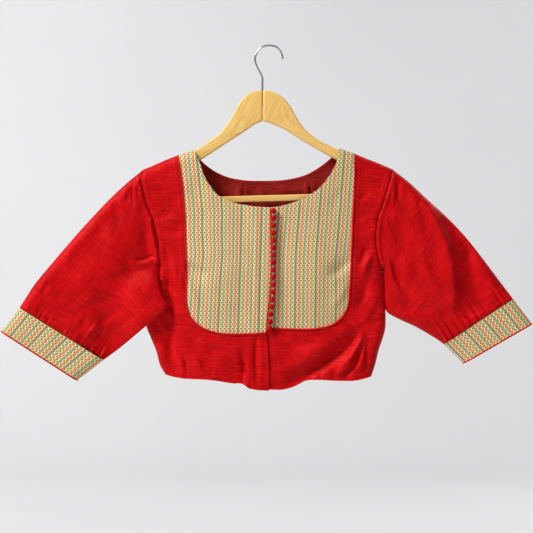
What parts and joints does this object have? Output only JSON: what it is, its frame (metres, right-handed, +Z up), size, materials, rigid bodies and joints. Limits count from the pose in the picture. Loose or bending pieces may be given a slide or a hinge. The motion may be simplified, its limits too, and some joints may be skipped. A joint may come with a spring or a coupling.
{
  "type": "choli blouse on a wooden hanger",
  "caption": "Cropped red raw-silk choli blouse with a striped brocade yoke and cuffs and ball buttons, hanging on a flat wooden hanger with a wire hook.",
  "frame": {"origin": "inside top of the hanger's hook, where it rests on a rail", "axes": "+Z up, -Y the front of the blouse, +X to the viewer's right"},
  "size_m": [0.7981, 0.0448, 0.5177],
  "materials": {
    "red_silk": "slubby raw silk with a low sheen",
    "striped_brocade": "cream woven brocade with coloured zigzag stripes",
    "red_piping": "corded raw silk",
    "maroon_lining": "matte cotton lining",
    "honey_wood": "satin varnish",
    "chromed_steel": "polished"
  },
  "bodies": {
    "root": {"front_left": "red_silk", "front_right": "red_silk", "yoke_left": "striped_brocade", "yoke_right": "striped_brocade", "yoke_piping_left": "red_piping", "yoke_piping_right": "red_piping", "back": "red_silk", "back_lining": "maroon_lining", "sleeve_left": "red_silk", "sleeve_right": "red_silk", "cuff_left": "striped_brocade", "cuff_right": "striped_brocade", "cuff_piping_left": "red_piping", "cuff_piping_right": "red_piping", "button_01": "red_silk", "button_02": "red_silk", "button_03": "red_silk", "button_04": "red_silk", "button_05": "red_silk", "button_06": "red_silk", "button_07": "red_silk", "button_08": "red_silk", "button_09": "red_silk", "button_10": "red_silk", "button_11": "red_silk", "button_12": "red_silk", "button_13": "red_silk", "button_14": "red_silk", "button_15": "red_silk", "button_16": "red_silk", "button_17": "red_silk", "hanger_arm_left": "honey_wood", "hanger_arm_right": "honey_wood", "hanger_bar": "honey_wood", "hanger_hook": "chromed_steel"}
  },
  "joints": []
}
